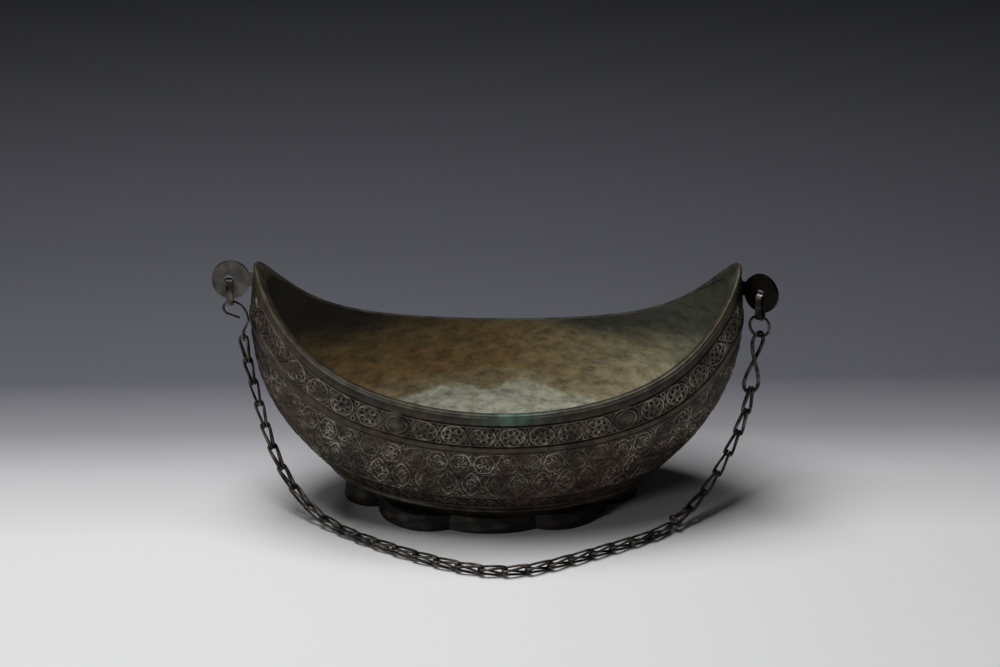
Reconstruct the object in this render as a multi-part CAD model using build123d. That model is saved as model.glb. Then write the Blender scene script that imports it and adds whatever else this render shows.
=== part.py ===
from build123d import *
import math
import os

# A kashkul: a boat-shaped begging bowl of tinned copper on a lobed foot, carried by a
# wire chain between two disc lugs. Millimetres, +Z up, +X towards the stern, origin on
# the table under the middle of the foot.

# Bowl: the rim
rim_half_length = 120.5
rim_half_width = 55.5
rim_height = 73.2
tip_rise = 56.0
tip_lean = 2.4
lip_height = 2.6
lip_stand = 1.0

# Bowl: the hull under the rim
base_half_length = 71.7
base_half_width = 41.3
stem_swell = 3.5
stem_below_tip = 25.2
wall = 2.2
stem_wall = 5.0
floor_wall = 2.4
floor_round = 9.0
hull_sections = 7

# Bowl: the raised band under the frieze and the bead above the foot
band_drop = 18.4
band_width = 4.4
bead_rise = 5.8
bead_width = 2.0
band_stand = 0.5
rise_lost_per_drop = 0.65

# Foot ring
foot_height = 8.0
foot_spread_length = 4.5
foot_spread_width = 3.1
foot_towards_bow = 3.3
end_lobe_angle = 24.0
end_valley_depth = 0.16
corner_lobe_angle = 72.0
corner_valley_depth = 0.06
foot_taper = 4.0
foot_opening_half_length = 52.0
foot_opening_half_width = 31.0

# Disc lugs
lug_half_width = 9.5
lug_half_height = 10.1
lug_thickness = 2.2
lug_hole_play = 0.62
lug_hole_rise = 0.7
lug_hole_out = 1.0
lug_neck = 1.1
lug_neck_height = 7.0
lug_step = 0.4
left_lug_below_tip = 9.35
right_lug_below_tip = 11.9
right_lug_turn = 38.0

# Strap shackles
strap_width = 3.2
strap_thickness = 1.0
strap_play = 0.6
shackle_drop = 12.8

# Wire fittings between the shackles and the chain
hook_wire = 1.3
hook_tail_radius = 3.6
hook_swing = 8.6
hook_length = 19.3
hook_eye_in = 5.8
hook_bend_rise = 8.5
ring_wire = 1.6
ring_half_width = 5.4
ring_half_height = 5.6
ring_turn = -30.0
eight_wire = 2.1
eight_half_width = 3.7
eight_length = 33.5
eight_turn = 40.0
eight_lean = (-3.4, -0.8)
fitting_play = 0.15
last_fold_slack = 1.05

# Chain: every link is a closed wire ring, pinched at its waist and folded in two
link_count = 33
link_wire = 1.25
link_play = 0.3
strand_gap = 0.2
loop_bow = 0.075
flats = 6
facing_links = 9
mended_after = 26
mend_gap = 0.7
mend_wire_size = 0.8
mend_turns = 2
mend_pitch = 1.0
mend_play = 0.15
mend_spread = 0.3

# How the chain lies between its two ends, on the table and up to the stern: the share of
# the way from the hook's eye to the figure-eight link, how far it lies in front of the
# straight line between them, and the share of the nearer end's height above the table
table_play = 0.025
WAY = [
    (0.0109, 2.52, 0.8069),
    (0.0264, 6.00, 0.5911),
    (0.0474, 10.64, 0.3754),
    (0.0827, 18.77, 0.1777),
    (0.1312, 29.60, 0.0460),
    (0.1895, 42.15, 0.0017),
    (0.2594, 55.22, 0.0000),
    (0.3603, 70.25, 0.0000),
    (0.5040, 80.75, 0.0000),
    (0.6360, 69.74, 0.0000),
    (0.7564, 53.03, 0.0000),
    (0.8107, 44.21, 0.0026),
    (0.8573, 34.06, 0.0537),
    (0.8946, 25.57, 0.1557),
    (0.9280, 17.72, 0.3105),
    (0.9552, 11.31, 0.4829),
    (0.9769, 5.94, 0.6588),
    (0.9916, 2.03, 0.8277),
]

# What follows from the sizes above
stem_half_length = rim_half_length + stem_swell
stem_height = rim_height + tip_rise - stem_below_tip
bead_drop = rim_height - foot_height - bead_rise
foot_half_length = base_half_length + foot_spread_length
foot_half_width = base_half_width + foot_spread_width
lug_hole_radius = math.hypot(strap_width, strap_thickness) / 2 + lug_hole_play
fold_radius = 1.5 * link_wire + strand_gap / 4 + link_play + loop_bow
eye_radius = fold_radius + (hook_wire - link_wire) / 2


def hull_half_length(z, grow=0.0):
    """Half the length of the hull at height z: it swells up the stem, then draws in."""
    up = min(max((z - foot_height) / (stem_height - foot_height), 0.0), 1.0)
    full = base_half_length + (stem_half_length - base_half_length) * (1 - (1 - up) ** 2.46)
    tip_height = rim_height + tip_rise
    past = max(z - stem_height, 0.0) / (tip_height - stem_height)
    return full - (stem_half_length - rim_half_length) * past**2 + grow


def hull_half_width(z, grow=0.0):
    """Half the width of the hull at height z, which flares up to the rim."""
    up = min(max((z - foot_height) / (rim_height - foot_height), 0.0), 1.0)
    flare = (rim_half_width - base_half_width) * (1 - (1 - up) ** 1.78)
    return base_half_width + flare + grow


def sheer(x, drop=0.0):
    """Height of the rim at x, or of a line that runs drop below it amidships."""
    along = abs(x) / rim_half_length
    rise = tip_rise - rise_lost_per_drop * drop
    curve = 0.45 * along**2 + 0.55 * along**6
    return rim_height - drop + rise * curve - tip_lean * x / rim_half_length


def waterline(z, grow_length, grow_width):
    """The lens outline of the hull at height z."""
    half_length = hull_half_length(z, grow_length)
    half_width = hull_half_width(z, grow_width)
    sharp = 1.0 + 0.12 * min((z - foot_height) / (rim_height - foot_height), 1.0)
    steps = 10
    side = [
        (
            half_length * math.cos(math.pi * i / steps),
            half_width * math.sin(math.pi * i / steps) ** sharp,
        )
        for i in range(steps + 1)
    ]
    far = Spline(*side)
    near = mirror(far, Plane.XZ)
    return Pos(0, 0, z) * make_face([far, near])


def hull(bottom, grow_length=0.0, grow_width=0.0, round_floor=0.0):
    """The hull as a solid from bottom to above the tips, grown or shrunk all round.

    round_floor is the radius where the walls meet the floor.
    """
    top = rim_height + tip_rise + tip_lean + 6
    sections = []
    if round_floor:
        for angle in (0, 30, 60):
            turn = math.radians(angle)
            z = bottom + round_floor * (1 - math.cos(turn))
            draw = round_floor * (1 - math.sin(turn))
            sections.append(waterline(z, grow_length - draw, grow_width - draw))
    start = bottom + round_floor
    for i in range(hull_sections + 1):
        z = start + (top - start) * (i / hull_sections) ** 1.25
        sections.append(waterline(z, grow_length, grow_width))
    return loft(sections, ruled=True)


def above_sheer(drop):
    """Everything above the line that runs drop below the rim."""
    reach = stem_half_length + 8
    line = Spline(*[(x, sheer(x, drop)) for x in [reach * i / 8 for i in range(-8, 9)]])
    top = sheer(reach, 0) + 60
    frame = Polyline(line @ 0, (-reach, top), (reach, top), line @ 1)
    side = Plane.XZ * make_face([line, frame])
    return extrude(side, amount=rim_half_width + 10, both=True)


def bowl_shell():
    """The hull hollowed out, in courses that follow the sheer, from the rim down.

    Each course stands out by its own amount: lip, neck, frieze, band, field, bead.
    """
    courses = [
        (0.0, lip_stand),
        (lip_height, 0.0),
        (band_drop, band_stand),
        (band_drop + band_width, 0.0),
        (bead_drop, band_stand),
        (bead_drop + bead_width, 0.0),
    ]
    body = None
    for i, (drop, stand) in enumerate(courses):
        course = hull(foot_height, stand, stand) - above_sheer(drop)
        if i + 1 < len(courses):
            course &= above_sheer(courses[i + 1][0])
        body = course if body is None else body + course
    inside = hull(foot_height + floor_wall, -stem_wall, -wall, floor_round)
    return body - inside


def lobed_outline(half_length, half_width):
    """An oval with eight lobes: one on each end, one on each side and four between."""

    def on_oval(angle, inset):
        turn = math.radians(angle)
        share = 1 - inset
        return (half_length * share * math.cos(turn), half_width * share * math.sin(turn))

    valleys = []
    for middle in (0, 180):
        valleys += [
            (middle - corner_lobe_angle, corner_valley_depth),
            (middle - end_lobe_angle, end_valley_depth),
            (middle + end_lobe_angle, end_valley_depth),
            (middle + corner_lobe_angle, corner_valley_depth),
        ]
    arcs = []
    for i, (angle, inset) in enumerate(valleys):
        next_angle, next_inset = valleys[(i + 1) % len(valleys)]
        next_angle += 360 if next_angle < angle else 0
        crown = on_oval((angle + next_angle) / 2, 0)
        arcs.append(ThreePointArc(on_oval(angle, inset), crown, on_oval(next_angle, next_inset)))
    return Pos(-foot_towards_bow, 0, 0) * make_face(arcs)


def foot_ring():
    """The lobed foot, spread at its base and open underneath."""
    base = lobed_outline(foot_half_length, foot_half_width)
    top = lobed_outline(foot_half_length - foot_taper, foot_half_width - foot_taper)
    block = loft([base, Pos(0, 0, foot_height) * top], ruled=True)
    opening = Ellipse(foot_opening_half_length, foot_opening_half_width)
    return block - extrude(Pos(-foot_towards_bow, 0, 0) * opening, foot_height)


def disc_lug(hull_solid, side, height, turn):
    """A pierced disc on a short neck, fitted to the stem. Returns it and its hole."""
    stem = hull_half_length(height)
    centre = side * (lug_neck + lug_half_width)
    disc = Plane.XZ * Ellipse(lug_half_width, lug_half_height)
    plate = extrude(disc, lug_thickness / 2, both=True)
    hole_x = side * lug_hole_out if turn == 0 else 0.0
    hole_z = lug_hole_rise if turn == 0 else 0.0
    reach = lug_neck + lug_half_width * 0.5 + wall
    neck = Box(reach, lug_thickness - 2 * lug_step, lug_neck_height)
    plate += Pos(-side * (lug_half_width + lug_neck + wall - reach / 2), 0, 0) * neck
    hole_in_plate = Pos(hole_x, 0, hole_z)
    plate -= Plane.XZ * extrude(Pos(hole_x, hole_z) * Circle(lug_hole_radius), 5, both=True)
    place = Pos(side * stem, 0, height) * Rot(0, 0, turn) * Pos(centre, 0, 0)
    lug = (place * plate) - hull_solid
    return lug, place * hole_in_plate


def shackle(hole):
    """A strap loop through the lug's hole, square to the disc, hanging below it."""
    inner_width = lug_thickness + 2 * strap_play
    outer_width = inner_width + 2 * strap_thickness
    outer_height = shackle_drop + 2 * strap_thickness
    outer = SlotOverall(outer_height, outer_width, rotation=90)
    inner = SlotOverall(shackle_drop, inner_width, rotation=90)
    loop = Plane.YZ * extrude(outer - inner, strap_width / 2, both=True)
    return hole * Pos(0, 0, -shackle_drop / 2 - strap_thickness) * loop


def wire(points, size, sides=8):
    """A wire of the given size bent along straight runs, with mitred corners."""
    path = Polyline(*points)
    start = Plane(origin=path @ 0, z_dir=path % 0)
    section = start * RegularPolygon(size / 2, sides)
    return sweep(section, path=path, transition=Transition.RIGHT)


def arc_points(centre_x, centre_z, radius_x, radius_z, start, end, count):
    """Corner points of straight runs that stand in for an arc in the XZ plane."""
    out = []
    for i in range(count + 1):
        angle = math.radians(start + (end - start) * i / count)
        out.append(
            (centre_x + radius_x * math.cos(angle), 0, centre_z + radius_z * math.sin(angle))
        )
    return out


def oval_ring(half_width, half_height, size):
    """A closed oval ring of wire, upright in the XZ plane, about the origin."""
    start = [(0, 0, half_height)]
    corner = 180 / 14
    side = arc_points(0, 0, half_width, half_height, 90 - corner, -90 + corner, 6)
    level = side[0][2]
    half = [(0, 0, level)] + side + [(0, 0, -level)]
    right = wire(half, size)
    return right + mirror(right, Plane.YZ)


def s_hook(peak, eye_centre):
    """The hook in the left shackle: a bent wire, and an eye turned square to it."""
    eye_x, eye_y, eye_z = eye_centre.X, eye_centre.Y, eye_centre.Z
    tail_z = peak.Z - hook_tail_radius
    tail = arc_points(peak.X, tail_z, hook_tail_radius, hook_tail_radius, 90, 240, 6)
    tip = tail[-1]
    tail.append((tip[0] + 6.2, 0, tip[2] - 2.4))
    bend_z = eye_z + hook_bend_rise
    sweep_out = arc_points(peak.X, bend_z, hook_swing, peak.Z - bend_z, 90, 0, 7)
    neck = (eye_x, 0, eye_z + eye_radius)
    body = wire(list(reversed(tail)) + sweep_out[1:] + [neck], hook_wire)
    eye = oval_ring(eye_radius, eye_radius, hook_wire)
    return body + Pos(eye_x, eye_y, eye_z) * Rot(0, 0, 90) * eye


def figure_eight(top, bottom):
    """A long link whose two sides cross over at the middle, hung from top to bottom.

    Its height runs as a cosine, its width as the sine of twice the angle, and it
    turns as it goes down so that its two eyes face different ways.
    """
    steps = 14
    lap = 0.15
    offset = eight_wire / 2 + fitting_play / 2
    strand = []
    for i in range(steps):
        angle = math.pi * (i + 0.5) / steps
        turn = math.radians(eight_turn) * (1 + math.cos(angle)) / 2
        out = eight_half_width * math.sin(2 * angle)
        side = offset * math.sin(angle) ** 6
        x = out * math.cos(turn) - side * math.sin(turn)
        y = out * math.sin(turn) + side * math.cos(turn)
        strand.append((x, y, eight_length / 2 * math.cos(angle)))
    first, last = strand[0], strand[-1]
    strand.insert(0, (-lap * first[0], -lap * first[1], first[2]))
    strand.append((-lap * last[0], -lap * last[1], last[2]))
    strand = wire(strand, eight_wire)
    whole = strand + Rot(0, 0, 180) * strand
    down = (bottom - top).normalized()
    frame = Plane(origin=(top + bottom) / 2, x_dir=(1, 0, 0), z_dir=-down)
    return frame.location * whole


def loop_height(loop_spread):
    """How far past the joint a loop reaches, so that it clears the fold inside it."""
    reach = fold_radius - link_wire - link_play
    return math.sqrt(reach**2 - loop_spread**2)


def link():
    """One folded link, its origin at the joint above it and hanging down Z.

    The two loops go round the doubled waist of the link above. The fold at the
    bottom, an arc about the next joint, passes through the next link's loops.
    """
    radius = link_wire / 2
    strand = radius + strand_gap / 2
    loop_spread = radius + strand_gap / 4
    loop_top = -loop_height(loop_spread)
    loop_half_width = strand + radius + link_play + radius
    shoulder = loop_half_width / 2
    flat = math.tan(math.radians(22.5)) * fold_radius
    quarter = wire(
        [
            (0, loop_spread, loop_top),
            (shoulder, loop_spread, loop_top),
            (loop_half_width, loop_spread, loop_top - shoulder - 0.05),
            (strand, fold_radius, -link_pitch - flat),
            (strand, flat, -link_pitch - fold_radius),
            (strand, 0, -link_pitch - fold_radius),
        ],
        link_wire,
        flats,
    )
    half = quarter + mirror(quarter, Plane.XZ)
    return half + mirror(half, Plane.YZ)


def mend_coil():
    """The wire wound round the loops of the first link past the mend, in its own frame."""
    loop_height = link_wire + strand_gap / 4
    loop_edge = 2 * link_wire + strand_gap / 2 + link_play
    stand_off = mend_play + mend_wire_size / 2
    points = []
    for i in range(16 * mend_turns + 1):
        angle = 2 * math.pi * i / 16
        # a squarish oval, its sides flattened by the square root
        x = math.copysign(math.sqrt(abs(math.cos(angle))), math.cos(angle))
        y = math.copysign(math.sqrt(abs(math.sin(angle))), math.sin(angle))
        half_width = loop_edge + stand_off
        half_height = loop_height + stand_off + mend_spread
        points.append((half_width * x, half_height * y, -1.0 - mend_pitch * i / 16))
    return wire(points, mend_wire_size, flats)


def facing(index, along):
    """The way a link's loops face: up the bend, turning to the front near both ends."""
    from_end = min(index, link_count - 1 - index)
    turned = max(1 - from_end / facing_links, 0.0)
    upright = Vector(0, 0, 1) - along * along.Z
    return upright.normalized() * (1 - turned) + Vector(0, -1, 0) * turned


def chain_way(start, end):
    """The points that the chain's route passes through, from its two ends."""
    table = fold_radius + link_wire / 2 + table_play
    points = []
    for share, forward, rise in WAY:
        x = start.X + (end.X - start.X) * share
        y = start.Y + (end.Y - start.Y) * share - forward
        top = start.Z if share < 0.5 else end.Z
        points.append(Vector(x, y, table + (top - table) * rise))
    return points


def lay_chain():
    """The plane of each link along the route: origin at its upper joint, Z up it."""
    planes = []
    joint = route @ 0
    across_above = Vector(1, 0, 0)
    radius_above = eye_radius
    for i in range(link_count):
        reached = (i + 1) * link_pitch
        if i >= mended_after:
            reached += mend_step
        if i == mended_after:
            joint += (route @ (reached / route.length) - joint).normalized() * mend_step
        along = (route @ (reached / route.length) - joint).normalized()
        face = facing(i, along)
        face = (face - along * face.dot(along)).normalized()
        across = face.cross(-along)
        # the loops bear on the bend above, where it crosses this link's line
        flat_line = (along - across_above * along.dot(across_above)).normalized()
        if i != mended_after:
            joint = joint + flat_line * radius_above - along * radius_above
        planes.append(Plane(origin=joint, x_dir=across, z_dir=-along))
        joint = joint + along * link_pitch
        across_above = across
        radius_above = fold_radius
    return planes


hull_solid = hull(foot_height)
left_lug_height = sheer(-rim_half_length) - left_lug_below_tip
right_lug_height = sheer(rim_half_length) - right_lug_below_tip
left_lug, left_hole = disc_lug(hull_solid, -1, left_lug_height, 0)
right_lug, right_hole = disc_lug(hull_solid, 1, right_lug_height, -right_lug_turn)

# where each hanging piece bears on the one above it; a bent wire clears the edges of
# the strap it rests in by the amount it falls away across half the strap
edge = strap_width / 2
hook_sag = hook_tail_radius - math.sqrt(hook_tail_radius**2 - edge**2)
ring_sag = ring_half_height * (1 - math.sqrt(1 - (edge / ring_half_width) ** 2))
seat = Vector(0, 0, -strap_thickness - shackle_drop)
hook_peak = left_hole.position + seat + Vector(0, 0, hook_wire / 2 + hook_sag + fitting_play)
ring_top = right_hole.position + seat + Vector(0, 0, ring_wire / 2 + ring_sag + fitting_play)
ring_centre = ring_top - Vector(0, 0, ring_half_height)
hook_eye_centre = hook_peak + Vector(hook_eye_in, 0, -hook_length)
eight_seat = (ring_wire + eight_wire) / 2 + 2 * fitting_play
eight_top = ring_centre + Vector(0, 0, eight_seat - ring_half_height)
fall = math.sqrt(eight_length**2 - eight_lean[0] ** 2 - eight_lean[1] ** 2)
eight_bottom = eight_top + Vector(eight_lean[0], eight_lean[1], -fall)
last_reach = fold_radius - (link_wire + eight_wire) / 2 - link_play - last_fold_slack
way = chain_way(hook_eye_centre, eight_bottom)
last_way = (eight_bottom - way[-1]).normalized()
route = Spline(hook_eye_centre, *way, eight_bottom - last_way * last_reach)
# past the mend the next link starts clear of the fold instead of hooked through it
loop_reach = loop_height(link_wire / 2 + strand_gap / 4)
mend_step = fold_radius + link_wire - loop_reach + mend_gap
link_pitch = (route.length - mend_step) / link_count
chain = lay_chain()

parts = {
    "bowl_shell": bowl_shell(),
    "foot_ring": foot_ring(),
    "left_lug": left_lug,
    "right_lug": right_lug,
    "left_shackle": shackle(left_hole),
    "right_shackle": shackle(right_hole),
    "s_hook": s_hook(hook_peak, hook_eye_centre),
    "right_ring": Pos(ring_centre) * Rot(0, 0, ring_turn)
    * oval_ring(ring_half_width, ring_half_height, ring_wire),
    "figure_eight_link": figure_eight(eight_top, eight_bottom),
}
mend_place = chain[mended_after].location
parts["mend_wire"] = mend_place * mend_coil()
one_link = link()
for i, plane in enumerate(chain):
    parts[f"link_{i + 1:02d}"] = plane.location * one_link

os.makedirs("parts", exist_ok=True)
for name, shape in parts.items():
    shape.label = name
    export_step(shape, f"parts/{name}.step")
print("link pitch", round(link_pitch, 3), "route", round(route.length, 1))
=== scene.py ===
import math

import bpy
import numpy as np
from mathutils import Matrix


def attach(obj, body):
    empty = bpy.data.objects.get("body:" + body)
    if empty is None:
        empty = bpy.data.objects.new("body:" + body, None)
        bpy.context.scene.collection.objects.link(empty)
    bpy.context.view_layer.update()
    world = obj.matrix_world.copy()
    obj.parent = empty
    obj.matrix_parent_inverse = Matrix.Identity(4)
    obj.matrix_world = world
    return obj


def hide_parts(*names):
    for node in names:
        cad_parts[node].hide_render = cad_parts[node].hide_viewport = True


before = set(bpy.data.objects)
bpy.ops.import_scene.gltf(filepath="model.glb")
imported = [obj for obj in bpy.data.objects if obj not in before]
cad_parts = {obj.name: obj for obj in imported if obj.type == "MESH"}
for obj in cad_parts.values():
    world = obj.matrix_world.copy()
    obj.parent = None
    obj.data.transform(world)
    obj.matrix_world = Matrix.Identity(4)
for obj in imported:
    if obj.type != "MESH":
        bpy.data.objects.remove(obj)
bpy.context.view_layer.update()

# The camera stands 1.2 m away, a little left of square to the bowl and 25.65 degrees
# above it, with a lens that takes in 23.8 degrees from side to side.
camera_target = np.array([0.0013, 0.0, 0.0909])
camera_distance = 1.2
camera_azimuth, camera_elevation = math.radians(-1.33), math.radians(25.65)
view_angle = math.radians(23.775)
camera_back = np.array([
    math.sin(camera_azimuth) * math.cos(camera_elevation),
    -math.cos(camera_azimuth) * math.cos(camera_elevation),
    math.sin(camera_elevation),
])
camera_data = bpy.data.cameras.new("camera")
camera_data.sensor_width = 36.0
camera_data.lens = camera_data.sensor_width / 2 / math.tan(view_angle / 2)
camera = bpy.data.objects.new("camera", camera_data)
camera.location = camera_target + camera_back * camera_distance
camera.rotation_euler = (math.pi / 2 - camera_elevation, 0.0, camera_azimuth)
bpy.context.collection.objects.link(camera)
bpy.context.scene.camera = camera
bpy.context.scene.view_settings.view_transform = "Standard"


# The sweep of paper that the bowl stands on: pale under the bowl, and darkening to a
# dark blue-grey behind it, which is painted falloff of the overhead light.
def linear(colour):
    """An sRGB hex colour as linear red, green, blue and alpha."""
    parts = [int(colour[i:i + 2], 16) / 255 for i in (1, 3, 5)]
    parts = [c / 12.92 if c <= 0.04045 else ((c + 0.055) / 1.055) ** 2.4 for c in parts]
    return (*parts, 1.0)


def add_node(tree, kind, settings=None, **links):
    """A node of one kind with its settings. Links go in by socket name, where a number
    or colour sets the socket and an output socket joins it."""
    made = tree.nodes.new(kind)
    for name, value in (settings or {}).items():
        setattr(made, name, value)
    for name, value in links.items():
        key = int(name[1:]) if name[0] == "i" and name[1:].isdigit() else name.replace("_", " ")
        if isinstance(value, bpy.types.NodeSocket):
            tree.links.new(value, made.inputs[key])
        else:
            made.inputs[key].default_value = value
    return made


def new_material(name):
    """An empty node material, and its tree."""
    material = bpy.data.materials.new(name)
    material.use_nodes = True
    material.node_tree.nodes.clear()
    return material, material.node_tree


def set_ramp(ramp_node, stops):
    """Gives a Color Ramp node its stops, as (place, hex colour)."""
    ramp = ramp_node.color_ramp
    while len(ramp.elements) < len(stops):
        ramp.elements.new(1.0)
    for element, (place, colour) in zip(ramp.elements, stops):
        element.position = place
        element.color = linear(colour)


def mesh_object(name, points, faces):
    """A smooth mesh from points in millimetres and an array of four-corner faces."""
    mesh = bpy.data.meshes.new(name)
    points = np.asarray(points, float).reshape(-1, 3) / 1000
    faces = np.asarray(faces, int)
    mesh.vertices.add(len(points))
    mesh.vertices.foreach_set("co", points.ravel())
    mesh.loops.add(faces.size)
    mesh.loops.foreach_set("vertex_index", faces.ravel())
    mesh.polygons.add(len(faces))
    mesh.polygons.foreach_set("loop_start", np.arange(0, faces.size, faces.shape[1]))
    mesh.polygons.foreach_set("use_smooth", np.full(len(faces), True))
    mesh.update(calc_edges=True)
    mesh.validate()
    made = bpy.data.objects.new(name, mesh)
    bpy.context.collection.objects.link(made)
    return made


# Paper: matt, not metallic, rough at 0.7. Its colour falls from 200 mm in front of
# the bowl's middle to 900 mm behind it: painted falloff of the light, not print.
paper, tree = new_material("paper_with_painted_falloff")
place = add_node(tree, "ShaderNodeTexCoord").outputs["Object"]
split = add_node(tree, "ShaderNodeSeparateXYZ", Vector=place)
depth = add_node(tree, "ShaderNodeMapRange", Value=split.outputs["Y"], From_Min=-0.2, From_Max=0.9)
# The ramp paints the falloff of the overhead light into the paper's colour.
painted_falloff = add_node(tree, "ShaderNodeValToRGB", Fac=depth.outputs["Result"])
set_ramp(painted_falloff, [
    (0.00, "#e6e6e6"), (0.14, "#e0e0e0"), (0.20, "#c2c1c3"), (0.245, "#8b8a8f"),
    (0.30, "#5a5a62"), (0.47, "#4c4c54"), (0.95, "#2b2c31"),
])
shader = add_node(tree, "ShaderNodeBsdfPrincipled", Base_Color=painted_falloff.outputs["Color"],
                  Roughness=0.7)
add_node(tree, "ShaderNodeOutputMaterial", Surface=shader.outputs[0])
floor = mesh_object(
    "paper_sweep",
    [(-4000, -2500, 0), (4000, -2500, 0), (4000, 5000, 0), (-4000, 5000, 0)],
    [(0, 1, 2, 3)],
)
floor.data.materials.append(paper)

# Soft light: a large box overhead, a little left of the bowl and behind it, a small one
# low on the left in front, and a dim grey room around them.
world = bpy.data.worlds.new("studio")
bpy.context.scene.world = world
world.use_nodes = True
world.node_tree.nodes["Background"].inputs["Color"].default_value = linear("#9a9da6")
world.node_tree.nodes["Background"].inputs["Strength"].default_value = 0.04


def soft_box(name, place, aim, size, power):
    """A square area lamp at place that faces the point aim."""
    lamp = bpy.data.lights.new(name, "AREA")
    lamp.size = size
    lamp.energy = power
    made = bpy.data.objects.new(name, lamp)
    direction = np.array(aim, float) - np.array(place, float)
    flat = math.hypot(direction[0], direction[1])
    made.rotation_euler = (
        math.atan2(flat, -direction[2]), 0.0, math.atan2(-direction[0], direction[1])
    )
    made.location = place
    bpy.context.collection.objects.link(made)


soft_box("overhead", place=(-0.19, 0.08, 1.10), aim=(0.0, 0.0, 0.05), size=0.60, power=12.2)
soft_box("left", place=(-1.05, -0.90, 0.42), aim=(0.0, 0.0, 0.06), size=0.35, power=3.8)

# The hull: one raised sheet of copper, tinned and gone dark, engraved all over. All of
# its bands are drawn from the same waterlines and the same sheer, in millimetres.
rim_half_length, rim_half_width, rim_height = 120.5, 55.5, 73.2
tip_rise, tip_lean = 56.0, 2.4
base_half_length, base_half_width = 71.7, 41.3
stem_half_length, stem_height = 124.0, 104.0
foot_height = 8.0
wall, stem_wall, floor_wall, floor_round = 2.2, 5.0, 2.4, 9.0


def hull_half_length(z):
    """The half length swells up the stem as one less a power, then draws in to the tip."""
    up = np.clip((z - foot_height) / (stem_height - foot_height), 0, 1)
    full = base_half_length + (stem_half_length - base_half_length) * (1 - (1 - up) ** 2.46)
    past = np.clip(z - stem_height, 0, None) / (rim_height + tip_rise - stem_height)
    return full - (stem_half_length - rim_half_length) * past**2


def hull_half_width(z):
    """The half width flares up to the rim as one less a power."""
    up = np.clip((z - foot_height) / (rim_height - foot_height), 0, 1)
    return base_half_width + (rim_half_width - base_half_width) * (1 - (1 - up) ** 1.78)


def sheer(x, drop):
    """A line that runs drop below the rim amidships: a square and a sixth power of x."""
    along = np.abs(x) / rim_half_length
    rise = tip_rise - 0.65 * drop
    curve = 0.45 * along**2 + 0.55 * along**6
    return rim_height - drop + rise * curve - tip_lean * x / rim_half_length


def waterline(turn, z, in_length=0.0, in_width=0.0):
    """A lens: the half length times a cosine, and the half width times a power of a sine."""
    sharp = 1.0 + 0.12 * np.clip((z - foot_height) / (rim_height - foot_height), None, 1)
    x = (hull_half_length(z) - in_length) * np.cos(turn)
    sine = np.sin(turn)
    y = (hull_half_width(z) - in_width) * np.sign(sine) * np.abs(sine) ** sharp
    return x, y


def on_hull(turn, drop):
    """Points of the hull where it meets the line drop below the rim, by repeated guesses."""
    z = rim_height - drop + 0 * turn
    for _ in range(60):
        x, _y = waterline(turn, z)
        z = 0.6 * z + 0.4 * np.maximum(sheer(x, drop), foot_height)
    x, y = waterline(turn, z)
    return np.stack([x, y, z], axis=-1)


def even_turns(drop, count):
    """Turns round the hull, from bow to bow, that step evenly along the line at drop.
    Also gives the distance run along it from the stern tip, within one side."""
    fine = np.linspace(0, 2 * math.pi, 8001)
    line = on_hull(fine, np.full(fine.shape, drop))
    run = np.concatenate([[0], np.cumsum(np.linalg.norm(np.diff(line, axis=0), axis=1))])
    wanted = np.linspace(0, run[-1], count, endpoint=False)
    return np.interp(wanted, run, fine), wanted, run[-1]


def grid_faces(rows, columns):
    """Four-corner faces of a grid of rows and columns, joined round."""
    row = np.arange(rows - 1)[:, None]
    column = np.arange(columns)[None, :]
    beside = (column + 1) % columns
    corners = [row * columns + column, row * columns + beside,
               (row + 1) * columns + beside, (row + 1) * columns + column]
    return np.stack([c + 0 * (row + column) for c in corners], axis=-1).reshape(-1, 4)


def grid_normals(points):
    """Unit normals of a closed grid: the cross product of its two directions."""
    around = np.roll(points, -1, axis=1) - np.roll(points, 1, axis=1)
    down = np.gradient(points, axis=0)
    normal = np.cross(down, around)
    return normal / np.maximum(np.linalg.norm(normal, axis=-1, keepdims=True), 1e-9)


def ridge(distance, width):
    """A soft raised line: one on the line, and falling away as a bell of that width."""
    return np.exp(-(distance / width) ** 2)


def hull_band(name, top, bottom, rows, columns, relief, middle):
    """A band of the hull between two lines, where along is the run of the middle line plus
    how far each column of points slips along the band. The points are pushed out along
    their normals by relief(along, across, side), which is in millimetres, and the share
    of its height is kept as the attribute called relief, for the colours."""
    turns, run, whole = even_turns(middle, columns)
    drops = np.linspace(top, bottom, rows)
    turn, drop = np.meshgrid(turns, drops)
    points = on_hull(turn, drop)
    normal = grid_normals(points)
    side = whole / 2
    ahead = np.roll(points, -1, axis=1) - np.roll(points, 1, axis=1)
    ahead /= np.linalg.norm(ahead, axis=-1, keepdims=True)
    slip = np.cumsum((np.gradient(points, axis=0) * ahead).sum(axis=-1), axis=0)
    slip -= slip[np.argmin(np.abs(drops - middle))]
    along = np.clip(run % side + slip, 0, side)
    across = drop - middle
    height, tone = relief(along, across, side)
    points = points + normal * height[..., None]
    band = mesh_object(name, points, grid_faces(rows, columns))
    attribute = band.data.attributes.new("relief", "FLOAT", "POINT")
    attribute.data.foreach_set("value", np.clip(tone, 0, 1).ravel())
    return band


# Old tinned copper, chased and then darkened by handling: a metal, so metallic is 0.9 and
# the IOR stays at its default, at a worn roughness of 0.4. It is dark brown in the
# hollows, greyer and brighter on what stands proud, with green copper salts in places.
# Its patterns are this many millimetres across. Real pits are finer than these, which
# are as coarse as they need to be to show.
cloud_size, salt_size, stain_size, pit_size = 62.5, 20.83, 6.667, 1.111


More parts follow.
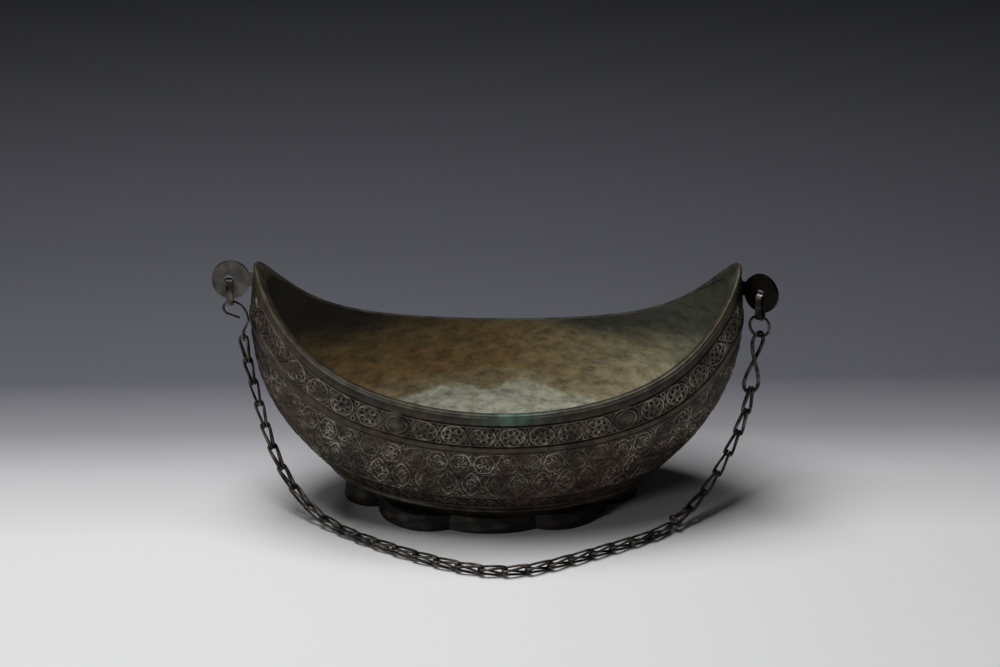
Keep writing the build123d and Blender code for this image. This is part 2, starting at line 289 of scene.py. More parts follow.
def patinated_copper(name, hollow, proud, warm, green_amount, roughness=0.40, metal=0.9,
                     salt_place=None):
    """Patinated copper: colour by the relief attribute, then cloudy warm patches, green
    salts, stains and pits. A salt place is the middle and the reach along X, in metres,
    of a larger patch of salts."""
    material, tree = new_material(name)
    place = add_node(tree, "ShaderNodeTexCoord").outputs["Object"]
    cut = add_node(tree, "ShaderNodeAttribute", {"attribute_name": "relief"})
    by_height = add_node(tree, "ShaderNodeValToRGB", Fac=cut.outputs["Fac"])
    set_ramp(by_height, [(0.0, hollow), (0.55, proud[0]), (1.0, proud[1])])
    clouds = add_node(tree, "ShaderNodeTexNoise", Vector=place, Scale=1000 / cloud_size,
                      Detail=7.0)
    cloud_mask = add_node(tree, "ShaderNodeMapRange", Value=clouds.outputs["Fac"],
                          From_Min=0.42, From_Max=0.66, To_Max=0.6)
    warmed = add_node(tree, "ShaderNodeMix", {"data_type": "RGBA"},
                      i0=cloud_mask.outputs["Result"], i6=by_height.outputs["Color"],
                      i7=linear(warm))
    salts = add_node(tree, "ShaderNodeTexNoise", Vector=place, Scale=1000 / salt_size,
                     Detail=8.0, Roughness=0.7)
    amount = add_node(tree, "ShaderNodeMapRange", Value=salts.outputs["Fac"], From_Min=0.56,
                      From_Max=0.78, To_Max=green_amount).outputs["Result"]
    if salt_place:
        middle, reach = salt_place
        split = add_node(tree, "ShaderNodeSeparateXYZ", Vector=place)
        away = add_node(tree, "ShaderNodeMath", {"operation": "SUBTRACT"}, i0=split.outputs["X"],
                        i1=middle)
        away = add_node(tree, "ShaderNodeMath", {"operation": "ABSOLUTE"}, i0=away.outputs[0])
        near = add_node(tree, "ShaderNodeMapRange", Value=away.outputs[0], From_Max=reach,
                        To_Min=1.0, To_Max=0.0)
        patch = add_node(tree, "ShaderNodeMapRange", Value=salts.outputs["Fac"],
                         From_Min=0.36, From_Max=0.62)
        both = add_node(tree, "ShaderNodeMath", {"operation": "MULTIPLY"},
                        i0=near.outputs["Result"], i1=patch.outputs["Result"])
        amount = add_node(tree, "ShaderNodeMath", {"operation": "MAXIMUM"}, i0=amount,
                          i1=both.outputs[0]).outputs[0]
    greened = add_node(tree, "ShaderNodeMix", {"data_type": "RGBA"}, i0=amount,
                       i6=warmed.outputs[2], i7=linear("#4f6a60"))
    stains = add_node(tree, "ShaderNodeTexNoise", Vector=place, Scale=1000 / stain_size,
                      Detail=6.0)
    stain_tone = add_node(tree, "ShaderNodeMapRange", Value=stains.outputs["Fac"],
                          From_Min=0.35, From_Max=0.65, To_Min=0.55, To_Max=1.35)
    stained = add_node(tree, "ShaderNodeMix", {"data_type": "RGBA", "blend_type": "MULTIPLY"},
                       i0=1.0, i6=greened.outputs[2], i7=stain_tone.outputs["Result"])
    pits = add_node(tree, "ShaderNodeTexNoise", Vector=place, Scale=1000 / pit_size, Detail=4.0)
    bump = add_node(tree, "ShaderNodeBump", Strength=0.35, Distance=0.0003,
                    Height=pits.outputs["Fac"])
    dull = add_node(tree, "ShaderNodeMapRange", Value=pits.outputs["Fac"],
                    To_Min=roughness - 0.12, To_Max=roughness + 0.18)
    shader = add_node(tree, "ShaderNodeBsdfPrincipled", Base_Color=stained.outputs[2],
                      Metallic=metal, Roughness=dull.outputs["Result"],
                      Normal=bump.outputs["Normal"])
    add_node(tree, "ShaderNodeOutputMaterial", Surface=shader.outputs[0])
    return material


def finish_bowl(piece, material, node="bowl_shell"):
    """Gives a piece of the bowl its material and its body."""
    piece.data.materials.append(material)
    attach(piece, "bowl")
    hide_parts(node)


# The frieze under the rim: a row of ringed rosettes chased in the sheet by hand, with a
# plain boss in place of two of them on each side, and small leaves in the gaps.
frieze_pitch, frieze_middle, boss_cell = 14.4, 6.6, 4
ring_radius, heart_radius, cell_edge = 5.55, 1.2, 6.1
petal_count, petal_reach, petal_radius = 7, 3.4, 1.35
boss_radius, boss_ring_radius = 3.9, 4.8


def wear(along, across):
    """How much of the chasing is left: one, less crossed sines of uneven periods."""
    first = np.sin(along / 1.9 + 1.7 * np.sin(across / 1.7)) * np.sin(across / 1.3 + along / 5.1)
    second = np.sin(along / 6.3 + 1.1 * np.sin(across / 4.7 + along / 11.0))
    return 0.78 + 0.24 * first + 0.16 * second


def frieze_relief(along, across, side):
    """Raised rings: a large one about each cell's middle, a small one at its centre and
    seven petals between, each a soft ridge at its own radius."""
    place = along - side / 2 - frieze_middle
    cell = np.round(place / frieze_pitch)
    a, b = (place - cell * frieze_pitch) * 0.93, across * 1.08
    out = np.hypot(a, b) + 0.12 * np.sin(3 * np.arctan2(b, a) + 5 * cell)
    plain = np.abs(cell) == boss_cell
    height = ridge(out - ring_radius, 0.52) + 0.7 * ridge(out - heart_radius, 0.45)
    for k in range(petal_count):
        angle = math.radians(360 / petal_count * k) + 0.4 * cell
        petal = np.hypot(a - petal_reach * np.cos(angle), b - petal_reach * np.sin(angle))
        height = np.maximum(height, 0.9 * ridge(petal - petal_radius, 0.42))
    height = np.where(out > 6.3, 0.0, height)
    gap = np.abs(np.abs(a) - 6.7)
    leaf = np.hypot(gap, (np.abs(b) - 4.6) * 0.8)
    height = np.maximum(height, 0.85 * ridge(leaf - 1.0, 0.42) * (out > cell_edge))
    bud = np.hypot(gap, (np.abs(b) - 1.9) * 0.55)
    height = np.maximum(height, 0.7 * ridge(bud - 0.3, 0.45) * (out > cell_edge))
    boss = 0.7 * np.clip(1 - (out / boss_radius) ** 2, 0, 1) ** 0.5
    boss = boss + 0.9 * ridge(out - boss_ring_radius, 0.5)
    height = np.where(plain & (out < 5.6), boss, height)
    height = np.where(plain & (out >= 5.6), 0.7 * ridge(out - 7.0, 0.5), height)
    tip = np.clip((np.minimum(along, side - along) - 5.0) / 4.0, 0, 1)
    height = height * tip * wear(along, across)
    edge = np.maximum(ridge(across + 5.55, 0.35), ridge(across - 5.35, 0.35))
    height = np.maximum(height, 0.75 * edge)
    return 0.8 * height - 0.35, height


# The chased copper of the frieze, with a patch of green salts near the middle.
copper_frieze = patinated_copper(
    "chased_copper_frieze", "#29251f", ("#4f4a42", "#a39d90"), "#4a3831", 0.35
)
frieze = hull_band("frieze", 5.9, 18.4, 40, 2360, frieze_relief, 12.7)
finish_bowl(frieze, copper_frieze)


# A plain round fillet, raised half a millimetre in the same sheet, closes the frieze
# below.
def fillet_relief(along, across, side):
    """A low round bead half a millimetre high, with a sunk line along each edge."""
    bead = np.clip(1 - (across / 2.0) ** 2, 0, 1) ** 0.5
    groove = ridge(np.abs(across) - 2.05, 0.22)
    return 0.55 * bead - 0.3 * groove, 0.15 + 0.42 * bead - 0.3 * groove


# The same copper left plain, so its lights and darks lie closer together.
copper_plain = patinated_copper(
    "plain_copper_fillet", "#26221d", ("#453f37", "#5e574c"), "#40312a", 0.35
)
fillet = hull_band("fillet", 18.4, 22.8, 15, 900, fillet_relief, 20.6)
finish_bowl(fillet, copper_plain)


# The field: a net of round loops above and pointed ones below, over a ground filled with
# leaves, all chased by hand, so it reads as short bright strokes on a dark ground.
field_pitch, leaf_size = 11.6, 2.5
round_loop_middle, pointed_loop_middle = -7.6, 5.6


def scattered(i, j, seed):
    """A number from 0 to 1 for each cell: the fraction of a large sine of its indices."""
    return (np.sin(i * 12.9898 + j * 78.233 + seed * 37.719) * 43758.5453) % 1.0


def leaves(along, across, side):
    """Short curved strokes, one in each cell of two crossed lattices: a ridge along a
    parabola whose slope and bend are scattered from cell to cell."""
    height = np.zeros(along.shape)
    count = round(side / leaf_size)
    for lattice, offset in ((0, 0.0), (1, 0.5)):
        a = along / side * count + offset
        b = across / leaf_size * 1.05 + offset
        i, j = np.floor(a), np.floor(b)
        i = i % count
        slide = scattered(i, j, lattice) - 0.5
        a = (a % 1.0 - 0.5 + 0.25 * slide) * leaf_size
        b = (b % 1.0 - 0.5 - 0.25 * slide) * leaf_size
        turn = math.pi * scattered(i, j, lattice + 2)
        run = a * np.cos(turn) + b * np.sin(turn)
        off = b * np.cos(turn) - a * np.sin(turn)
        bend = np.where(scattered(i, j, lattice + 7) > 0.5, 0.42, -0.42)
        stroke = ridge(off - bend * (run**2 - 0.5), 0.38) * np.clip(2.3 - 1.7 * np.abs(run), 0, 1)
        height = np.maximum(height, stroke * (0.7 + 0.5 * scattered(i, j, lattice + 5)))
    return height


def round_loop(a, b):
    """A loop whose radius swells six times round, with three lobes of leaf inside it.
    Also gives how far out each point is, as a share of the loop."""
    angle = np.arctan2(b, a)
    out = np.hypot(a / 5.3, b / 5.9) / (1 + 0.05 * np.cos(6 * angle + 0.5))
    height = ridge((out - 0.95) * 5.5, 0.5)
    for turn in (math.pi / 2, math.pi * 7 / 6, math.pi * 11 / 6):
        lobe = np.hypot(a - 2.1 * math.cos(turn), b + 2.2 * math.sin(turn))
        height = np.maximum(height, 0.9 * ridge(lobe - 1.3, 0.45))
    return height, out


def pointed_loop(a, b):
    """A loop with points above and below, where shares of a and b, each to the power
    1.35, add to one, with a smaller one inside it. Also gives that sum's own root."""
    out = ((np.abs(a) / 5.2) ** 1.35 + (np.abs(b) / 8.2) ** 1.35) ** (1 / 1.35)
    height = ridge((out - 0.93) * 5.0, 0.5)
    height = np.maximum(height, 0.9 * ridge((out - 0.42) * 5.0, 0.45))
    return height, out


def field_relief(along, across, side):
    """The round loops, the pointed ones half a pitch along below them, and the leaves,
    which are cut away in a narrow moat on each side of the loops."""
    count = round(side / field_pitch)
    pitch = side / count
    height = leaves(along, across, side)
    rows = ((round_loop_middle, 0.0, round_loop), (pointed_loop_middle, 0.5, pointed_loop))
    for middle, shift, loop in rows:
        a = ((along / pitch + shift) % 1.0 - 0.5) * pitch
        shape, out = loop(a, across - middle)
        moat = np.clip(np.abs(out - 0.94) / 0.13 - 0.3, 0, 1)
        height = np.where(out < 1.2, height * moat, height)
        height = np.where(out < 1.08, np.maximum(shape, height), height)
    height = height * wear(along, across)
    edge = np.maximum(ridge(across + 13.9, 0.35), ridge(across - 13.9, 0.35))
    height = np.maximum(height, 0.6 * edge)
    return 0.7 * height - 0.3, height


# The chased copper of the field, with its lines the brightest, where hands have worn it.
copper_field = patinated_copper(
    "chased_copper_field", "#27231e", ("#4f4a42", "#aaa497"), "#4a3831", 0.25
)
upper_field = hull_band("field_upper", 22.8, 37.1, 47, 1980, field_relief, 37.1)
finish_bowl(upper_field, copper_field)
lower_field = hull_band("field_lower", 37.1, 51.4, 47, 1980, field_relief, 37.1)
finish_bowl(lower_field, copper_field)


# Below the field a running scroll is chased between two lines, then a round bead turns
# the edge of the ornament.
scroll_pitch = 9.0


def border_relief(along, across, side):
    """A stem that runs as a sine wave, with a round leaf in each bend, between lines."""
    count = round(side / scroll_pitch)
    pitch = side / count
    wave = 1.5 * np.sin(2 * math.pi * along / pitch)
    height = 0.9 * ridge(across + 0.4 - wave, 0.38)
    a = (along / pitch * 2) % 1.0 - 0.5
    sign = np.where(np.floor(along / pitch * 2) % 2 == 0, 1.0, -1.0)
    leaf = np.hypot(a * pitch / 2, across + 0.4 + 0.9 * sign)
    height = np.maximum(height, 0.8 * ridge(leaf - 0.7, 0.35))
    lines = np.maximum(ridge(across + 3.7, 0.3), ridge(across - 2.9, 0.3))
    bead = 1.2 * np.clip(1 - ((across - 4.7) / 1.1) ** 2, 0, 1) ** 0.5
    height = np.maximum(height, 0.9 * lines)
    height = np.where(across > 3.5, 0.0, height)
    return 0.45 * height - 0.15 + bead, np.maximum(height, 0.55 * bead)


# The copper of the border, painted darker as shade, because it faces down.
border_copper_painted_shade = patinated_copper(
    "chased_copper_border_painted_shade", "#26221e", ("#454037", "#7d7567"), "#3d2f29", 0.2
)
border = hull_band("border", 51.4, 61.4, 34, 1500, border_relief, 55.6)
finish_bowl(border, border_copper_painted_shade)


# The bottom of the hull under the bead: the same sheet, plain, and flat where the foot
# is soldered to it.
def hull_bottom(name, columns=360, rows=8, rings=6):
    """From the last line down to the foot, then flat in to the middle of the underside."""
    turns, _run, _whole = even_turns(61.4, columns)
    top = on_hull(turns, np.full(turns.shape, 61.4))
    share = np.linspace(0, 1, rows)[:, None]
    z = top[None, :, 2] * (1 - share) + foot_height * share
    x, y = waterline(turns[None, :], z)
    side = np.stack([x, y, z], axis=-1)
    shrink = np.linspace(1, 0.002, rings)[1:, None]
    flat = np.stack([side[-1, :, 0] * shrink, side[-1, :, 1] * shrink,
                     foot_height + 0 * side[-1, :, 0] * shrink], axis=-1)
    points = np.concatenate([side, flat], axis=0)
    return mesh_object(name, points, grid_faces(len(points), columns))


bottom = hull_bottom("hull_bottom")
finish_bowl(bottom, copper_plain)


# The rim: a plain neck above the frieze, a bright lip standing out a millimetre, and a
# flat top turned in to the bowl. Green copper salts have grown on it near the middle.
def rim_band(name, columns=1100):
    """The neck and lip: points at each drop pushed out by their stand-off, then the flat
    top as far as the inner edge, which lies on the inner waterline."""
    turns, _run, _whole = even_turns(3.0, columns)
    profile = [
        (5.9, 0.0), (5.0, -0.05), (4.0, -0.1), (3.0, -0.15), (2.6, -0.2), (2.3, 0.0),
        (2.0, 0.5), (1.6, 0.85), (1.1, 0.9), (0.5, 0.7), (0.1, 0.4), (0.0, 0.1),
    ]
    drops = np.array([p[0] for p in profile])
    stand = np.array([p[1] for p in profile])
    turn, drop = np.meshgrid(turns, drops)
    outer = on_hull(turn, drop)
    out_x = np.sign(outer[..., 0]) * np.abs(np.cos(turn))
    outer = outer + np.stack([out_x, np.sin(turn), 0 * turn], axis=-1) * stand[:, None, None]
    inner = inner_edge(turns)
    middle = (outer[-1] + inner) / 2 + np.array([0, 0, 0.15])
    points = np.concatenate([outer, middle[None], inner[None]], axis=0)
    made = mesh_object(name, points[::-1], grid_faces(len(points), columns))
    tone = np.interp(drops, [0, 1.6, 2.2, 2.7, 5.9], [0.55, 0.9, 0.3, 0.15, 0.5])
    tone = np.concatenate([tone, [0.6, 0.45]])[:, None] * np.ones(columns)
    attribute = made.data.attributes.new("relief", "FLOAT", "POINT")
    attribute.data.foreach_set("value", tone[::-1].ravel())
    return made


def inner_edge(turns):
    """Where the inner waterlines meet the rim."""
    rim = on_hull(turns, np.zeros(turns.shape))
    x, y = waterline(turns, rim[:, 2], stem_wall, wall)
    return np.stack([x, y, sheer(x, 0.0)], axis=-1)


# The copper of the rim, rougher, at 0.5, where salts have grown and been rubbed away.
copper_rim = patinated_copper(
    "worn_copper_rim", "#26241e", ("#403d34", "#6d6a5c"), "#50402f", 0.5, roughness=0.5,
    metal=0.7, salt_place=(0.008, 0.026)
)
rim = rim_band("rim")
finish_bowl(rim, copper_rim)


# The inside was tinned. The tin has worn off the walls, which are brown, and lies as a
# pale grey crust in the bottom; the upper walls are darkened with painted shade under the rim.
def bowl_inside(name, columns=720, wall_rows=64, floor_rows=14):
    """Down the inner waterlines from the rim, round a quarter circle, and across the
    floor to its middle, with the hammer's shallow planishing marks as crossed sines."""
    turns, _run, _whole = even_turns(3.0, columns)
    edge = inner_edge(turns)
    share = np.linspace(0, 1, wall_rows)[:, None]
    low = foot_height + floor_wall + floor_round
    z = edge[None, :, 2] * (1 - share) + low * share
    x, y = waterline(turns[None, :], z, stem_wall, wall)
    inside = np.stack([x, y, z], axis=-1)
    bend = np.linspace(0, 1, 8)[1:, None] * math.pi / 2
    draw = floor_round * (1 - np.cos(bend))
    z = low - floor_round * np.sin(bend) + 0 * turns[None, :]
    x, y = waterline(turns[None, :], z, stem_wall + draw, wall + draw)
    turned = np.stack([x, y, z], axis=-1)
    shrink = np.linspace(1, 0.002, floor_rows)[1:, None]
    flat = np.stack([turned[-1, :, 0] * shrink, turned[-1, :, 1] * shrink,
                     turned[-1, :, 2] + 0 * shrink], axis=-1)
    points = np.concatenate([inside, turned, flat], axis=0)
    marks = np.sin(points[..., 0] / 2.1 + np.sin(points[..., 2] / 2.9))
    marks = marks * np.sin(points[..., 2] / 1.9 + points[..., 1] / 3.1)
    fade = np.ones(len(points))
    fade[0], fade[-2:] = 0.0, 0.0
    points = points + grid_normals(points) * (0.05 * marks * fade[:, None])[..., None]
    return mesh_object(name, points, grid_faces(len(points), columns)[:, ::-1])


# Worn tinning under a dried crust, which hides the metal, so metallic is 0.15 and the
# roughness 0.6. Its colour runs with height, moved by clouds that are drawn out level,
# and mottled by specks, both sized in millimetres, and near the rim it is painted shade.
# The grey crust is drawn in towards the middle of the floor, a little to the left, and the
# right end is greener, and also lighter as painted light from the left.
crust_cloud_size, speck_size = 58.82, 9.524
worn_tin, tree = new_material("worn_tinned_copper")
place = add_node(tree, "ShaderNodeTexCoord").outputs["Object"]
split = add_node(tree, "ShaderNodeSeparateXYZ", Vector=place)
place = add_node(tree, "ShaderNodeVectorMath", {"operation": "MULTIPLY"}, i0=place,
                 i1=(1.0, 1.0, 2.4)).outputs[0]
clouds = add_node(tree, "ShaderNodeTexNoise", Vector=place, Scale=1000 / crust_cloud_size,
                  Detail=9.0, Roughness=0.62)
height = add_node(tree, "ShaderNodeMapRange", Value=split.outputs["Z"], From_Min=0.010,
                  From_Max=0.088)
shift = add_node(tree, "ShaderNodeMath", {"operation": "MULTIPLY_ADD"},
                 i0=clouds.outputs["Fac"], i1=0.62, i2=-0.31)
level = add_node(tree, "ShaderNodeMath", {"operation": "ADD"}, i0=height.outputs["Result"],
                 i1=shift.outputs[0])
aside = add_node(tree, "ShaderNodeMath", {"operation": "MULTIPLY_ADD"}, i0=split.outputs["X"],
                 i1=8.5, i2=0.12)
aside = add_node(tree, "ShaderNodeMath", {"operation": "POWER"}, i0=aside.outputs[0], i1=2.0)
aside = add_node(tree, "ShaderNodeMath", {"operation": "MULTIPLY"}, i0=aside.outputs[0], i1=0.3)
aside = add_node(tree, "ShaderNodeMath", {"operation": "MINIMUM"}, i0=aside.outputs[0], i1=0.13)
level = add_node(tree, "ShaderNodeMath", {"operation": "ADD"}, i0=level.outputs[0],
                 i1=aside.outputs[0])
# The top of this ramp, near the rim, is painted shade.
crust_and_shade = add_node(tree, "ShaderNodeValToRGB", Fac=level.outputs[0])
set_ramp(crust_and_shade, [
    (0.00, "#c4c6bb"), (0.31, "#b6b6a8"), (0.35, "#8f8468"), (0.52, "#7f6540"),
    (0.82, "#6b5837"), (0.97, "#332b1e"), (1.00, "#1c1811"),
])
# This ramp is lighter as well as greener: painted light on the right end, which faces the lamp on
# the left.
green_lit_crust = add_node(tree, "ShaderNodeValToRGB", Fac=level.outputs[0])
set_ramp(green_lit_crust, [
    (0.0, "#c6c5b3"), (0.45, "#a8a58c"), (0.8, "#7d7f68"), (1.0, "#3f4336"),
])
green_and_lit_end = add_node(tree, "ShaderNodeMapRange", Value=split.outputs["X"], From_Max=0.10,
                     To_Max=0.75)
greened = add_node(tree, "ShaderNodeMix", {"data_type": "RGBA"},
                   i0=green_and_lit_end.outputs["Result"], i6=crust_and_shade.outputs["Color"],
                   i7=green_lit_crust.outputs["Color"])
specks = add_node(tree, "ShaderNodeTexNoise", Vector=place, Scale=1000 / speck_size,
                  Detail=9.0, Roughness=0.75)
speck_tone = add_node(tree, "ShaderNodeMapRange", Value=specks.outputs["Fac"], From_Min=0.36,
                      From_Max=0.64, To_Min=0.45, To_Max=1.5)
speckled = add_node(tree, "ShaderNodeMix", {"data_type": "RGBA", "blend_type": "MULTIPLY"},
                    i0=1.0, i6=greened.outputs[2], i7=speck_tone.outputs["Result"])
bump = add_node(tree, "ShaderNodeBump", Strength=0.4, Distance=0.0004,
                Height=specks.outputs["Fac"])
shader = add_node(tree, "ShaderNodeBsdfPrincipled", Base_Color=speckled.outputs[2],
                  Metallic=0.15, Roughness=0.6, Normal=bump.outputs["Normal"])
add_node(tree, "ShaderNodeOutputMaterial", Surface=shader.outputs[0])
inside = bowl_inside("bowl_inside")
finish_bowl(inside, worn_tin)


# The foot: a ring with eight lobes, beaten out of thick copper, soldered under the hull,
# and nearly black: dark copper, with painted shade from the hull over it.
foot_half_length, foot_half_width = 76.2, 44.4
foot_towards_bow, foot_taper = 3.3, 4.0
foot_opening_half_length, foot_opening_half_width = 52.0, 31.0
valley_angles = [24.0, 72.0, 108.0, 156.0, 204.0, 252.0, 288.0, 336.0]
valley_depths = [0.16, 0.06, 0.06, 0.16, 0.16, 0.06, 0.06, 0.16]


def lobe_outline(turns, half_length, half_width):
    """Eight arcs of circles, each through two valleys of the oval and the crown between
    them: the points where rays from the middle of each lobe's chord meet its circle.
    Also gives how far each point is from the nearest valley, as a share of its lobe."""
    x, y, lobe = np.zeros(turns.shape), np.zeros(turns.shape), np.zeros(turns.shape)
    for k in range(8):
        start, end = valley_angles[k - 1] - 360 * (k == 0), valley_angles[k]
        low, high = 1 - valley_depths[k - 1], 1 - valley_depths[k]
        angles = np.radians([start, (start + end) / 2, end])
        share = np.array([low, 1.0, high])
        px, py = half_length * share * np.cos(angles), half_width * share * np.sin(angles)
        rows = np.stack([2 * (px[1:] - px[0]), 2 * (py[1:] - py[0])], axis=1)
        sums = px[1:] ** 2 + py[1:] ** 2 - px[0] ** 2 - py[0] ** 2
        cx, cy = np.linalg.solve(rows, sums)
        radius = math.hypot(px[0] - cx, py[0] - cy)
        first = math.atan2(py[0] - cy, px[0] - cx)
        last = math.atan2(py[2] - cy, px[2] - cx)
        span = (last - first) % (2 * math.pi)
        here = (turns - math.radians(start)) % (2 * math.pi)
        step = here / math.radians(end - start)
        inside = step < 1 + 1e-9
        swept = first + span * step
        x = np.where(inside, cx + radius * np.cos(swept), x)
        y = np.where(inside, cy + radius * np.sin(swept), y)
        lobe = np.where(inside, 1 - np.abs(2 * step - 1), lobe)
    return x, y, lobe


def lobed_foot(name, columns=960):
    """The lobed outline carried up to the hull as it draws in. Each lobe bulges between
    table and hull as a half sine, and its face is beaten into three shallow hollows."""
    turns = np.linspace(0, 2 * math.pi, columns, endpoint=False)
    share = np.linspace(0, 1, 22)[:, None]
    draw = foot_taper * share**1.3
    x, y, lobe = lobe_outline(turns, foot_half_length, foot_half_width)
    top_x, top_y, _lobe = lobe_outline(
        turns, foot_half_length - foot_taper, foot_half_width - foot_taper
    )
    blend = 0.45 * share**1.2
    x, y = x * (1 - blend) + top_x * blend, y * (1 - blend) + top_y * blend
    lobe = np.clip(lobe, 0, 1) ** 0.7
    beaten = 0.6 * np.sin(9 * turns + 5 * share) * np.sin(23 * turns - 3 * share)
    bulge = lobe * np.sin(math.pi * share) * (0.5 + beaten) - 0.9 * (1 - lobe) * share
    length = np.hypot(x, y)
    x, y = x * (1 + bulge / length), y * (1 + bulge / length)
    tall = foot_height + 3.4 * np.abs(np.cos(turns)) ** 6
    side = np.stack([x - foot_towards_bow, y, tall * share], axis=-1)
    hole = [np.stack([foot_opening_half_length * np.cos(turns) - foot_towards_bow,
                      foot_opening_half_width * np.sin(turns),
                      level + 0 * turns], axis=-1) for level in (foot_height, 0.0)]
    points = np.concatenate([side, np.array(hole), side[:1]], axis=0)
    made = mesh_object(name, points, grid_faces(len(points), columns))
    tone = (0.25 + 0.5 * lobe * np.sin(math.pi * share) + beaten) * np.ones(turns.shape)
    tone = np.concatenate([tone, np.zeros((3, columns))])
    attribute = made.data.attributes.new("relief", "FLOAT", "POINT")
    attribute.data.foreach_set("value", np.clip(tone, 0, 1).ravel())
    return made


# The copper of the foot, dull at 0.6, so less of it is bare metal, and darkened by painted shade.
foot_copper_and_shade = patinated_copper(
    "dark_beaten_foot_painted_shade", "#060504", ("#100e0c", "#37322b"), "#120f0c", 0.2, roughness=0.6,
    metal=0.4
)
foot = lobed_foot("lobed_foot")
finish_bowl(foot, foot_copper_and_shade, node="foot_ring")


# The chain: iron wire rings, each pinched at the waist, folded in two and looped through
# the last one by hand, now brown-black with rust where they rub.
wire_sides = 12


def wire_tube(path, radius):
    """Round wire along a closed path: a circle in the plane square to it, carried along
    so that it never spins, and turned back evenly by what is left over at the end. The
    first circle starts from a direction that no wire runs in."""
    ahead = np.roll(path, -1, axis=0) - np.roll(path, 1, axis=0)
    ahead /= np.linalg.norm(ahead, axis=1, keepdims=True)
    across = np.cross(ahead[0], [0.31, 0.87, 0.37])
    frames = [across / np.linalg.norm(across)]
    for way in ahead[1:]:
        turned = frames[-1] - way * frames[-1].dot(way)
        frames.append(turned / np.linalg.norm(turned))
    across = np.array(frames)
    up = np.cross(ahead, across)
    turn = np.linspace(0, 2 * math.pi, wire_sides, endpoint=False)
    end = frames[-1] - ahead[0] * frames[-1].dot(ahead[0])
    left = math.atan2(end.dot(up[0]), end.dot(across[0]))
    twist = -left * np.arange(len(path)) / len(path)
    angle = turn[None, :] + twist[:, None]
    ring = across[:, None] * np.cos(angle)[..., None] + up[:, None] * np.sin(angle)[..., None]
    return path[:, None] + radius * ring


def tube_faces(rows):
    """Faces of a tube, joined end to end."""
    here = np.arange(wire_sides)
    beside = (here + 1) % wire_sides
    last_row = (rows - 1) * wire_sides
    join = np.stack([last_row + here, last_row + beside, beside, here], axis=-1)
    return np.concatenate([grid_faces(rows, wire_sides), join])


def round_corners(points, times):
    """Cuts each corner at a quarter and three quarters of its runs, again and again."""
    for _ in range(times):
        after = np.roll(points, -1, axis=0)
        pair = np.stack([0.75 * points + 0.25 * after, 0.25 * points + 0.75 * after], 1)
        points = pair.reshape(-1, 3)
    return points


# One link in its own measures, down from the loops to the fold. A quarter of its path is
# mirrored twice.
link_wire, link_pitch, fold_radius, strand = 1.25, 11.73, 2.3, 0.725
loop_spread, loop_top, loop_half_width = 0.675, -0.327, 2.275
shoulder, flat_run = loop_half_width / 2, 0.953
quarter = np.array([
    (0, loop_spread, loop_top),
    (shoulder, loop_spread, loop_top),
    (loop_half_width, loop_spread, loop_top - shoulder - 0.05),
    (strand, fold_radius, -link_pitch - flat_run),
    (strand, flat_run, -link_pitch - fold_radius),
    (strand, 0, -link_pitch - fold_radius),
])
half = np.concatenate([quarter, (quarter * [1, -1, 1])[-2::-1]])
link_path = np.concatenate([half, (half * [-1, 1, 1])[-2:0:-1]])


def node_points(name):
    """The points of a CAD node, in millimetres."""
    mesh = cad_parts[name].data
    points = np.zeros(len(mesh.vertices) * 3)
    mesh.vertices.foreach_get("co", points)
    return np.unique(np.round(points.reshape(-1, 3) * 1000, 3), axis=0)


def link_place(name):
    """Where a CAD link lies: its origin and its width, thick and long ways. The long way
    is the one its points spread in most, and the width is the one in which they spread
    more towards one end. That end, where they lie widest, is the loops'."""
    points = node_points(name)
    middle = points.mean(axis=0)
    spread = points - middle
    _values, ways = np.linalg.eigh(spread.T @ spread)
    long_way = ways[:, -1]
    height = spread @ long_way
    flat = spread - height[:, None] * long_way
    _values, ways = np.linalg.eigh((flat * height[:, None]).T @ flat)
    width, thick = ways[:, -1], ways[:, 0]
    aside = np.abs(spread @ width)
    if aside[height < height.min() + 3].max() > aside[height > height.max() - 3].max():
        long_way, height = -long_way, -height
    if np.dot(np.cross(width, thick), long_way) < 0:
        thick = -thick
    centre = (height.max() + height.min()) / 2 - (loop_top - link_pitch - fold_radius) / 2
    return middle + long_way * centre, np.stack([width, thick, long_way])


# Drawn iron wire, blackened and rusted: metallic 0.85 at the default IOR, roughness 0.38
# where it is rubbed. Its patterns are this many millimetres across, and the pits are
# coarser than real ones, so that they show.
rust_size, rust_pit_size = 4.545, 0.5556
iron, tree = new_material("rusted_iron_wire")
place = add_node(tree, "ShaderNodeTexCoord").outputs["Object"]
rust = add_node(tree, "ShaderNodeTexNoise", Vector=place, Scale=1000 / rust_size, Detail=5.0)
tone = add_node(tree, "ShaderNodeValToRGB", Fac=rust.outputs["Fac"])
set_ramp(tone, [(0.35, "#191716"), (0.5, "#3d3936"), (0.62, "#5c5650"), (0.75, "#75604f")])
pits = add_node(tree, "ShaderNodeTexNoise", Vector=place, Scale=1000 / rust_pit_size,
                Detail=3.0)
bump = add_node(tree, "ShaderNodeBump", Strength=0.5, Distance=0.0002,
                Height=pits.outputs["Fac"])
shader = add_node(tree, "ShaderNodeBsdfPrincipled", Base_Color=tone.outputs["Color"],
                  Metallic=0.85, Roughness=0.38, Normal=bump.outputs["Normal"])
add_node(tree, "ShaderNodeOutputMaterial", Surface=shader.outputs[0])

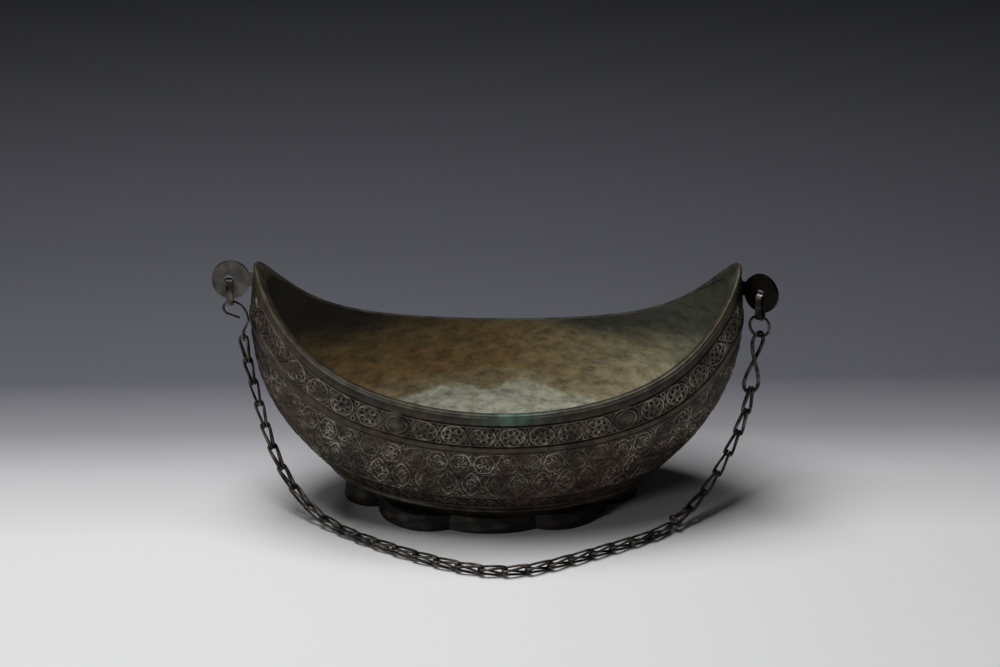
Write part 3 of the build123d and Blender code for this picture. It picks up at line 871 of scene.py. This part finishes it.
smooth_link = round_corners(link_path, 3)
for name in sorted(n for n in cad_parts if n.startswith("link_")):
    origin, ways = link_place(name)
    path = origin + smooth_link @ ways
    made = mesh_object("wire_" + name, wire_tube(path, link_wire / 2), tube_faces(len(path)))
    made.data.materials.append(iron)
    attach(made, name)
    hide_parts(name)

# The hook, ring, figure-eight link and mend are bent from the same iron wire. Each is a
# smoothed copy of its CAD piece, so it bears where that one does.
weld_distance, voxel_size = 0.00002, 0.0002
for name, slot in (("s_hook", "rusty_wire"), ("right_ring", "iron_wire"),
                   ("figure_eight_link", "iron_wire"), ("mend_wire", "rusty_wire")):
    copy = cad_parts[name].data.copy()
    made = bpy.data.objects.new("round_" + name, copy)
    bpy.context.collection.objects.link(made)
    weld = made.modifiers.new("weld", "WELD")
    weld.merge_threshold = weld_distance
    remesh = made.modifiers.new("remesh", "REMESH")
    remesh.mode = "VOXEL"
    remesh.voxel_size = voxel_size
    remesh.use_smooth_shade = True
    smooth = made.modifiers.new("smooth", "SMOOTH")
    smooth.factor, smooth.iterations = 0.5, 8
    bpy.context.view_layer.update()
    depsgraph = bpy.context.evaluated_depsgraph_get()
    shaped = bpy.data.meshes.new_from_object(made.evaluated_get(depsgraph))
    made.modifiers.clear()
    made.data = shaped
    made.data.materials.clear()
    made.data.materials.append(iron)
    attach(made, "link_27" if name == "mend_wire" else name)
    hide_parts(name)

# The lugs are pierced discs of the same copper, let into the stems. The shackles are iron
# strap, bent through the discs. Their meshes are the CAD's own and carry no relief, so
# the hollow colour is the one that shows.
# Dark copper for the left lug, painted lighter grey as painted light, where it faces the lamps.
lit_lug_copper = patinated_copper(
    "copper_lug_painted_light", "#5f5b57", ("#4a4743", "#5b544b"), "#2a2723", 0.4
)
# The same copper for the right lug, painted near black as painted shade, facing away from the
# lamps.
shaded_lug_copper = patinated_copper(
    "copper_lug_painted_shade", "#1f1d1a", ("#1f1d1a", "#2b2824"), "#151311", 0.3
)
for name, material in (("left_lug", lit_lug_copper), ("right_lug", shaded_lug_copper),
                       ("left_shackle", iron), ("right_shackle", iron)):
    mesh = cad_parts[name].data
    mesh.materials.clear()
    mesh.materials.append(material)
